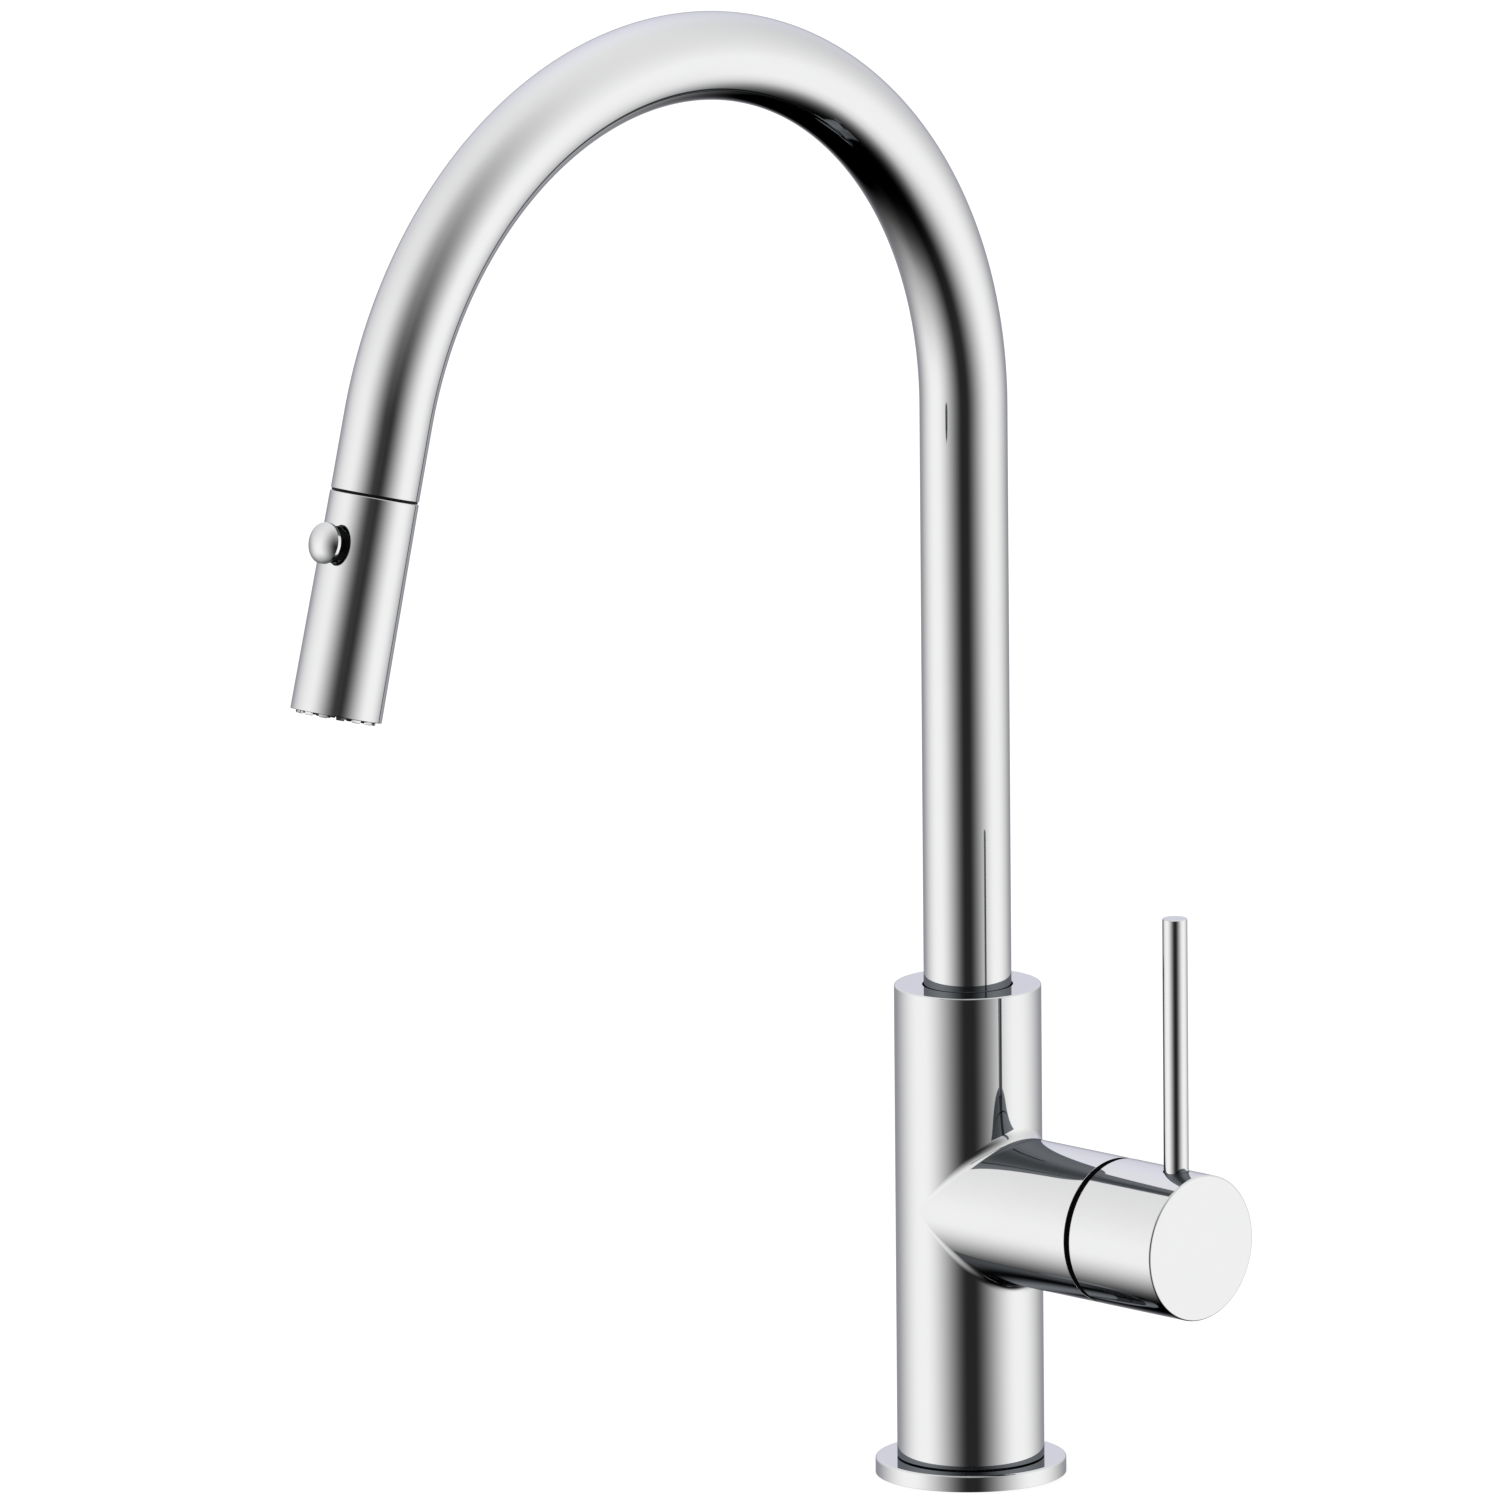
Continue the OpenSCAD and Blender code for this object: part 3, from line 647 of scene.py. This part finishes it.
def lever_pin():
    """Round pin on a thinner stud that is screwed into the cap's hub."""
    skin = Skin(Matrix.Translation((PIN_X * MM, 0, 0)) @ SCALE)
    stud_end = PIN_FOOT - STUD_LENGTH
    skin.lathe(outline([
        (0, stud_end), (STUD_R, stud_end, 0.3), (STUD_R, PIN_FOOT),
        (PIN_R, PIN_FOOT, 0.2), (PIN_R, PIN_TOP, 0.4), (0, PIN_TOP),
    ], closed=False), 128)
    skin.piece("pin_lever", "chrome", "lever", "lever_pin")


def screw_plug():
    """Low domed plug under the cap, its local Z pointing down and out of the cap's wall."""
    skin = Skin(Matrix.Translation((PLUG_X * MM, 0, (BRANCH_Z - BODY_R + 0.3) * MM))
                @ Matrix.Rotation(math.pi, 4, "X") @ SCALE)
    depth, rim, proud = 3, 0.3, 0.8
    dome = (PLUG_R ** 2 + proud ** 2) / (2 * proud)
    angles = np.linspace(math.asin(PLUG_R / dome), 0, 9)
    slopes = [(math.sin(a), math.cos(a)) for a in angles]
    crown = [(dome * across, proud + rim - dome + dome * up) for across, up in slopes]
    wall = outline([(0, -depth), (PLUG_R, -depth), (PLUG_R, rim)], closed=False)
    skin.lathe(wall + [(crown, slopes)], 96)
    skin.piece("grub_plug", "chrome", "lever", "screw_plug")


def dome_cover():
    """Black dome in the branch's mouth: a sphere about the lever's pivot, open for the spindle."""
    skin = Skin(ALONG_BRANCH)
    dome, wall, opening = 27.3, 1.1, 14.6
    skirt_r, skirt_x = 19.4, POCKET[1][1] + 7.1

    def on_sphere(r, a0, a1, sign):
        angles = np.linspace(a0, a1, 24)
        return ([(r * math.sin(a), PIVOT_X + r * math.cos(a)) for a in angles],
                [(sign * math.sin(a), sign * math.cos(a)) for a in angles])

    # the collar covers the branch's end face, which is black in the gap
    collar_r, collar_x = BODY_R - 0.25, BRANCH_END + 0.15
    rim = POCKET[1][0] - 0.15
    hollow = dome - wall
    outside = on_sphere(dome, math.acos((collar_x - PIVOT_X) / dome), math.asin(opening / dome), 1)
    inside = on_sphere(hollow, math.asin(opening / hollow), math.asin(skirt_r / hollow), -1)
    skin.lathe(outline([
        inside[0][-1], (skirt_r, skirt_x), (rim, skirt_x), (rim, BRANCH_END), (collar_r, BRANCH_END),
        (collar_r, collar_x), outside[0][0],
    ], closed=False))
    skin.lathe([outside])
    skin.lathe(outline([outside[0][-1], inside[0][0]], closed=False))
    skin.lathe([inside])
    skin.piece("dome", "black_plastic", "body", "dome_cover")


# ---------------------------------------------------------------- gooseneck

def spout_tube():
    """Straight tube, bend and straight end, each set on the one before."""
    skin = Skin()
    skin.lathe(outline([
        (TUBE_IN, BEND_Z), (TUBE_IN, TUBE_LOW), (TUBE_R, TUBE_LOW, 0.4), (TUBE_R, BEND_Z),
    ], closed=False))
    turn = full_turn(SIDES)
    bend = np.linspace(0, BEND, 331)
    outward = np.stack([0 * bend, np.cos(bend), np.sin(bend)], -1)
    centre = np.array([0, -BEND_R, BEND_Z]) + BEND_R * outward
    c, s = np.cos(turn)[None, :, None], np.sin(turn)[None, :, None]
    spoke = c * np.array([1.0, 0, 0]) + s * outward[:, None]
    for r, sign in ((TUBE_R, 1), (TUBE_IN, -1)):
        skin.grid(centre[:, None] + r * spoke, sign * spoke)
    end = Skin()
    end.lathe(outline([
        (TUBE_R, 0), (TUBE_R, SEAT, 0.12), (TUBE_IN, SEAT, 0.12), (TUBE_IN, 0),
    ], closed=False))
    skin.join(end, SCALE.inverted() @ AT_DOCK)
    skin.piece("gooseneck", "chrome", "spout", "spout_tube")


# ---------------------------------------------------------------- spray head

def head_shell():
    """Tapered shell with a hole behind the diverter knob, and a ledge for the face ring."""
    skin = Skin(AT_DOCK)
    top, bottom = HEAD
    outer = ((HEAD_R[0], top + 1), (HEAD_R[1], bottom - 1))
    inner = ((HEAD_IN, top + TOP_WALL), (HEAD_IN, FACE_S))
    skin.lathe(outline([
        inner[0], (NECK_IN, top + TOP_WALL), (NECK_IN, top), (HEAD_R[0], top, 0.4), outer[0],
    ], closed=False))
    skin.lathe(outline([
        outer[1], (HEAD_R[1], bottom, 0.3), (FACE_IN, bottom, 0.15), (FACE_IN, FACE_S), inner[1],
    ], closed=False))
    round_shell(skin, outer, inner, [(math.pi / 2, KNOB_S, KNOB_HOLE)], 0.1)
    skin.piece("head_casing", "chrome", "spray_head", "head_shell")


def diverter_knob():
    """Mushroom: a neck, a short straight band and a crown that is part of a sphere."""
    skin = Skin(AT_KNOB)
    band, rise = 1.35, 2.85
    shoulder = KNOB_UNDER + band
    dome = (KNOB_R ** 2 + rise ** 2) / (2 * rise)
    angles = np.linspace(math.acos(KNOB_R / dome), math.pi / 2, 33)
    slopes = [(math.cos(a), math.sin(a)) for a in angles]
    crown = [(dome * c, shoulder + rise - dome + dome * s) for c, s in slopes]
    neck = outline([
        (0, SPOOL_END[1]), (SPOOL_R, SPOOL_END[1]), (SPOOL_R, KNOB_UNDER, 0.6),
        (KNOB_R, KNOB_UNDER, 0.2), (KNOB_R, shoulder),
    ], closed=False)
    skin.lathe(neck + [(crown, slopes)], 128)
    skin.piece("diverter_button", "chrome", "diverter", "diverter_knob")


def diverter_spring():
    """One wound wire between the bore's bottom and the spool, drawn at one length; it rides the head and
    does not shorten as the knob is pressed.
    """
    coils, wire, coil_r, play = 3, 0.2, 2.9, 0.1
    low, high = SPOOL_BORE_END + play, SPOOL_END[0] - play
    turn = np.linspace(0, 2 * math.pi * coils, 240)
    across = full_turn(16)
    radial = np.stack([np.cos(turn), np.sin(turn), 0 * turn], -1)
    centre = coil_r * radial
    centre[:, 2] = np.linspace(low + wire, high - wire, len(turn))
    c, s = np.cos(across)[None, :, None], np.sin(across)[None, :, None]
    spoke = c * radial[:, None] + s * np.array([0, 0, 1.0])
    skin = Skin(AT_KNOB)
    skin.grid(centre[:, None] + wire * spoke, spoke)
    for end, sign in ((0, -1), (-1, 1)):
        along = sign * np.cross([0, 0, 1.0], radial[end])
        rim = centre[end] + wire * spoke[end]
        middle = np.repeat(centre[end][None], len(rim), 0)
        skin.grid([rim, middle], np.broadcast_to(along, (2, len(rim), 3)))
    spring = skin.piece("wound_spring", "steel", "spray_head", "diverter_spring")
    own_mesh(spring)


def spray_plate():
    """Rubber plate with a ring of soft nozzles, each with its own small hole."""
    skin = Skin(AT_DOCK)
    r_in, r_out, back, front = 7, 11.3, 90.5, 93.3
    skin.lathe(outline([(r_in, back), (r_out, back), (r_out, front, 0.3), (r_in, front, 0.3)]), 144)
    skin.piece("nozzle_plate", "rubber", "spray_head", "spray_plate")
    count, circle, tip = 18, 9.6, 94.8
    root_r, tip_r, hole = 1.15, 0.8, 0.35
    for i in range(count):
        angle = 2 * math.pi * i / count
        place = AT_DOCK @ Matrix.Translation((circle * math.cos(angle), circle * math.sin(angle), 0))
        nozzle = Skin(place)
        nozzle.lathe(outline([
            (0, front - 0.4), (root_r, front - 0.4), (root_r, front), (tip_r, front + 0.4, 0.3),
            (tip_r, tip, 0.25), (hole, tip, 0.1), (hole, front + 0.1), (0, front + 0.1),
        ], closed=False, steps=4), 32)
        nozzle.piece(f"nozzle_{i + 1:02d}", "rubber", "spray_head")


def face_ring():
    """Chrome ring with a castellated edge, each tooth rounded at its corners."""
    r_in, r_out, low, high, root = 11.4, 12.6, 88.5, 95.0, 93.6
    teeth, slot, corner = 14, 2.9, 0.3
    quarter = [math.radians(15 * k) for k in range(7)]
    bends = [corner * (1 - math.cos(a)) for a in quarter]
    lifts = [high - corner + corner * math.sin(a) for a in quarter]
    half_gap = slot / 2 / r_out
    rim = []
    for i in range(teeth):
        start = 2 * math.pi * i / teeth + half_gap
        end = 2 * math.pi * (i + 1) / teeth - half_gap
        flank = [(start + b / r_out, z) for b, z in zip(bends, lifts)]
        back = [(end - b / r_out, z) for b, z in zip(bends, lifts)][::-1]
        middle = [(start + (end - start) * t, high) for t in (0.25, 0.5, 0.75)]
        rim += [(start, root)] + flank + middle + back + [(end, root), (end + half_gap, root)]
    chamfer = 0.15
    loops = []
    for angle, top in rim:
        section = [(r_in, low), (r_out, low), (r_out, top - chamfer), (r_out - chamfer, top),
                   (r_in + chamfer, top), (r_in, top - chamfer)]
        loops.append([(r * math.cos(angle), r * math.sin(angle), z) for r, z in section])
    closed_loft("toothed_ring", "chrome", "spray_head", "face_ring", AT_DOCK, loops)


# ---------------------------------------------------------------- hose

def hose_walls(skin, centre, outward, length, relief):
    """Both walls and end faces of a hose whose rings stand on centre, each across its outward.

    length is each ring's place along the hose at full pull, and relief the height of its threads."""
    turn = full_turn(96)
    around = np.linspace(0, 1, len(turn))
    centre, outward, length = (np.asarray(v, float) for v in (centre, outward, length))
    sideways = np.array([1.0, 0, 0])
    c, s = np.cos(turn)[None, :, None], np.sin(turn)[None, :, None]
    spoke = c * sideways + s * outward[:, None]
    tangent = c * outward[:, None] - s * sideways
    along = np.cross(sideways, outward)[:, None]
    phase = 2 * math.pi * STRANDS
    right = phase * (around[None] + length[:, None] / LAY)
    left = phase * (around[None] - length[:, None] / LAY)
    on_top = np.sin(right) > np.sin(left)
    radius = HOSE_R - relief + relief * np.where(on_top, np.sin(right), np.sin(left))
    slope = relief * phase / LAY * np.where(on_top, np.cos(right), -np.cos(left))
    lean = relief * STRANDS / HOSE_R * np.where(on_top, np.cos(right), np.cos(left))
    normal = spoke - slope[..., None] * along - lean[..., None] * tangent
    uv = np.stack(np.broadcast_arrays(around[None], length[:, None] / LAY), -1)
    outer = centre[:, None] + radius[..., None] * spoke
    inner = centre[:, None] + HOSE_BORE * spoke
    skin.grid(outer, normal, uv=uv)
    skin.grid(inner, -spoke)
    for end, sign in ((0, -1), (-1, 1)):
        skin.grid([outer[end], inner[end]], np.broadcast_to(sign * along[end], (2, len(turn), 3)))


def pull_hose():
    """The hose lies along the spout's centreline; its last few millimetres are drawn short, their threads
    spaced for the length they have with the wand pulled.
    """
    still, free = 1.0, 5.9          # from the bend's end: the still hose's end, and the ferrule's face
    column = np.linspace(size_of("pull_hose", 2, 0), BEND_Z, 60)
    bend = np.linspace(0, BEND, 200)[1:]
    centre = np.concatenate([
        np.stack([0 * column, 0 * column, column], -1),
        np.stack([0 * bend, BEND_R * (np.cos(bend) - 1), BEND_Z + BEND_R * np.sin(bend)], -1),
        np.array([DOCK / MM + OUT * still])])
    angle = np.concatenate([0 * column, bend, [BEND]])
    outward = np.stack([0 * angle, np.cos(angle), np.sin(angle)], -1)
    length = np.concatenate([column, BEND_Z + BEND_R * bend, [BEND_Z + BEND_R * BEND + still]])
    skin = Skin()
    # here the braid's threads have no relief, only the material's painted shade in the grooves between them
    hose_walls(skin, centre, outward, length, 0.0)        # inside the spout its threads are only painted
    skin.piece("hose_run", "hose_braid", "spout", "pull_hose", uv_name="hose")

    share = 0.5 - np.sin(np.arcsin(np.linspace(1, -1, 600)) / 3)      # even once drawn out
    place = still + (free - still) * share
    drawn = share * share * (3 - 2 * share) * PULL
    relief = 0.12                                                     # how far its threads stand up
    skin = Skin()
    hose_walls(skin, [DOCK / MM + OUT * s for s in place], np.repeat(outward[-1:], len(share), 0),
               length[-1] - still + place + drawn, relief)
    reach = skin.piece("hose_reach", "hose_braid", None, uv_name="hose")
    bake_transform(reach)


# ---------------------------------------------------------------- deck fixing

def mounting_shank():
    """Threaded shank: one rolled thread, faded out at both ends."""
    low, high, root, pitch = size_of("mounting_shank", 2, 0), -8, SHANK_R - 1, 2.0
    register_r, bore = size_of("mounting_shank", 0), 14
    lead = 2.0                      # length over which the thread fades out
    z = np.linspace(low + 1, high, 300)[:, None]
    turn = full_turn(96)
    fade = np.clip((z - z[0]) / lead, 0, 1) * np.clip((z[-1] - z) / lead, 0, 1)
    wave = 2 * math.pi * z / pitch - turn[None]
    r = root + fade * (0.5 + 0.5 * np.cos(wave))
    slope = -fade * math.pi / pitch * np.sin(wave)
    c, s = np.cos(turn)[None], np.sin(turn)[None]
    skin = Skin()
    skin.grid(np.stack(np.broadcast_arrays(r * c, r * s, z), -1),
              np.stack(np.broadcast_arrays(c, s, -slope), -1))
    skin.lathe(outline([
        (root, high), (register_r, high, 0.3), (register_r, 0), (SHANK_R, 0), (SHANK_R, CAVITY_Z[0]),
        (bore, CAVITY_Z[0]), (bore, low, 0.3), (root, low, 0.6), (root, low + 1),
    ], closed=False), 96)
    skin.piece("shank_thread", "brass", "body", "mounting_shank")


def clamp_rings():
    """Rubber and steel rings under the deck, with broken edges."""
    hole = SHANK_R + 0.4
    for node, name, slot, edge in (("clamp_gasket", "deck_rubber", "rubber", 0.5),
                                   ("clamp_washer", "deck_washer", "steel", 0.35)):
        r, low, high = size_of(node, 0), size_of(node, 2, 0), size_of(node, 2)
        skin = Skin()
        skin.lathe(outline([(hole, low, edge), (r, low, edge), (r, high, edge), (hole, high, edge)]), 144)
        skin.piece(name, slot, "deck_clamp", node)


# ---------------------------------------------------------------- build

base_flange()
body_casting()
handle_cap()
lever_pin()
screw_plug()
dome_cover()
spout_tube()
head_shell()
diverter_knob()
diverter_spring()
spray_plate()
face_ring()
pull_hose()
mounting_shank()
clamp_rings()

# every CAD node that still shows takes its slot's material
for row in frame["record"]["subparts"]:
    node = frame["nodes"][row["node"]]
    node.data.materials.clear()
    node.data.materials.append(MATERIALS[row["material_slot"]])

# the deck hides what is under it from the polished parts above
UNDER_DECK = -5 * MM
for piece in list(bpy.context.scene.collection.all_objects):
    lowest = min((piece.matrix_world @ Vector(c)).z for c in piece.bound_box)
    if piece.type == "MESH" and lowest < UNDER_DECK:
        piece.visible_glossy = False

# ---------------------------------------------------------------- camera

AZIMUTH, ELEVATION, ROLL = (math.radians(a) for a in (44.577, 13.182, -0.484))
DISTANCE = 11.2424
LENS = 844.05                   # long, so that the view is nearly parallel
AIM = Vector((0, -0.09726, 0.25070))


def camera():
    """A camera far out at its azimuth and elevation, turned to AIM and rolled a little."""
    made = bpy.data.objects.new("camera", bpy.data.cameras.new("camera"))
    bpy.context.scene.collection.objects.link(made)
    made.data.lens = LENS
    made.data.sensor_width = 36
    made.data.clip_start, made.data.clip_end = 1, 100
    eye = DISTANCE * Vector((math.sin(AZIMUTH) * math.cos(ELEVATION),
                             -math.cos(AZIMUTH) * math.cos(ELEVATION), math.sin(ELEVATION)))
    back = (eye - AIM).normalized()
    level = (-back).cross(Vector((0, 0, 1))).normalized()
    upright = level.cross(-back)
    right = level * math.cos(ROLL) + upright * math.sin(ROLL)
    up = upright * math.cos(ROLL) - level * math.sin(ROLL)
    place = Matrix((right, up, back)).transposed().to_4x4()
    place.translation = eye
    made.matrix_world = place
    bpy.context.scene.camera = made


# ---------------------------------------------------------------- studio

def studio():
    """A white studio that the camera sees as plain white, and the metal as large soft banks of light.

    Two side banks, a bank overhead, a cool backdrop, a dark side where the photographer stands,
    and nothing below the table's edge. Metal seen in metal gets a dim share of it."""
    side, overhead, backdrop, low_backdrop, dark_side = 0.97, 0.78, 0.62, 0.3, 0.02
    turned = math.radians(46.5)         # the studio's front, in the model's azimuth
    each_bounce = 0.2                   # what a further bounce between metal faces keeps
    world = bpy.data.worlds.new("studio")
    bpy.context.scene.world = world
    graph = Graph(world)

    def add(*values):
        total = values[0]
        for value in values[1:]:
            total = graph.math("ADD", total, value)
        return total

    def times(*values):
        product = values[0]
        for value in values[1:]:
            product = graph.math("MULTIPLY", product, value)
        return product

    def minus(a, b):
        return graph.math("SUBTRACT", a, b)

    ray = graph.node("ShaderNodeTexCoord", output="Generated")
    f = graph.dot(ray, (math.sin(turned), -math.cos(turned), 0))      # to the front
    s = graph.dot(ray, (math.cos(turned), math.sin(turned), 0))       # to the right
    z = graph.dot(ray, (0, 0, 1))
    behind = graph.math("MAXIMUM", times(f, -1.0), 0.0)
    level = graph.math("MAXIMUM", add(times(f, f), times(s, s)), 1e-5)
    z2, z3 = times(z, z), times(z, z, z)

    # round the horizon: the dark front rises to the banks at the sides, and falls to the backdrop,
    # which is dimmer below the horizon than above it
    turn = graph.math("ABSOLUTE", graph.math("ARCTAN2", s, f))
    rise = graph.remap(turn, math.radians(5), math.radians(77), dark_side, side, smooth=True)
    fall = graph.remap(turn, math.radians(78), math.radians(150), 0.0, side - backdrop, smooth=True)
    low_fall = graph.remap(turn, math.radians(85), math.radians(160), 0.0, side - low_backdrop, smooth=True)
    over = graph.remap(z, -0.2, 0.2, 0.0, 1.0, smooth=True)
    ring = minus(rise, add(times(fall, over), times(low_fall, minus(1.0, over))))

    # above it: the overhead bank leans to the back, and the banks are a little weaker
    to_back = add(times(behind, z, 0.25), times(graph.math("MAXIMUM", f, 0.0), z3, -0.4))
    weaker = times(add(times(graph.math("ABSOLUTE", s), 0.18), times(s, 0.07)), z, level)
    above = minus(add(times(ring, level), times(z2, overhead), to_back), weaker)

    # below it: the light fades to black at the table's edge, which is nearest at the back
    edge = minus(graph.math("MULTIPLY_ADD", times(behind, behind), 0.4, -0.77), times(s, 0.12))
    back = graph.math("DIVIDE", behind, graph.math("SQRT", level))
    soft = graph.math("MULTIPLY_ADD", back, -0.26, 0.36)
    share = graph.math("DIVIDE", add(minus(z, edge), soft), times(soft, 2.0))
    table = times(graph.remap(share, 0.0, 1.0, 0.0, 1.0, smooth=True),
                  graph.remap(z, -0.98, -0.7, 0.0, 1.0, smooth=True))

    up = graph.math("GREATER_THAN", z, 0.0)
    light = times(add(times(above, up), times(ring, minus(1.0, up))), table)
    far_back = graph.math("POWER", back, 4.0)
    cool = graph.mix(times(far_back, minus(1.0, z2)), rgb(1.0, 1.0, 0.995), rgb(1.0, 1.0, 1.13))

    path = graph.tree.nodes.new("ShaderNodeLightPath")
    further = graph.math("MAXIMUM", minus(path.outputs["Glossy Depth"], 1.0), 0.0)
    blue = graph.mix(graph.math("MINIMUM", further, 1.0), rgb(1, 1, 1), rgb(0.93, 1, 1.08))
    color = graph.node("ShaderNodeVectorMath", {0: cool, 1: blue}, operation="MULTIPLY")
    dimmed = times(light, graph.math("POWER", each_bounce, further))
    color = graph.node("ShaderNodeVectorMath", {0: color, "Scale": dimmed}, operation="SCALE")
    glossy = graph.node("ShaderNodeBackground", {"Color": color, "Strength": 1.0})
    white = graph.node("ShaderNodeBackground", {"Color": rgb(1, 1, 1), "Strength": 1.05})
    shown = graph.node("ShaderNodeMixShader", {0: path.outputs["Is Glossy Ray"], 1: white, 2: glossy})
    graph.node("ShaderNodeOutputWorld", {"Surface": shown})


def floor():
    """The deck: a plain white disc, bright enough to meet the background without an edge."""
    bpy.ops.mesh.primitive_circle_add(vertices=128, radius=4, fill_type="NGON")
    made = bpy.context.active_object
    made.name = "floor"
    material = bpy.data.materials.new("floor")
    graph = Graph(material)
    matt = graph.node("ShaderNodeBsdfDiffuse", {"Color": rgb(0.3, 0.3, 0.3)})
    glow = graph.node("ShaderNodeEmission", {"Color": rgb(1, 1, 1), "Strength": 0.78})
    both = graph.node("ShaderNodeAddShader", {0: matt, 1: glow})
    graph.node("ShaderNodeOutputMaterial", {"Surface": both})
    made.data.materials.append(material)
    made.location.z = -0.05 * MM        # clear of the flange's underside, seen from below
    made.visible_glossy = False


camera()
studio()
floor()
bpy.context.scene.view_settings.view_transform = "Standard"
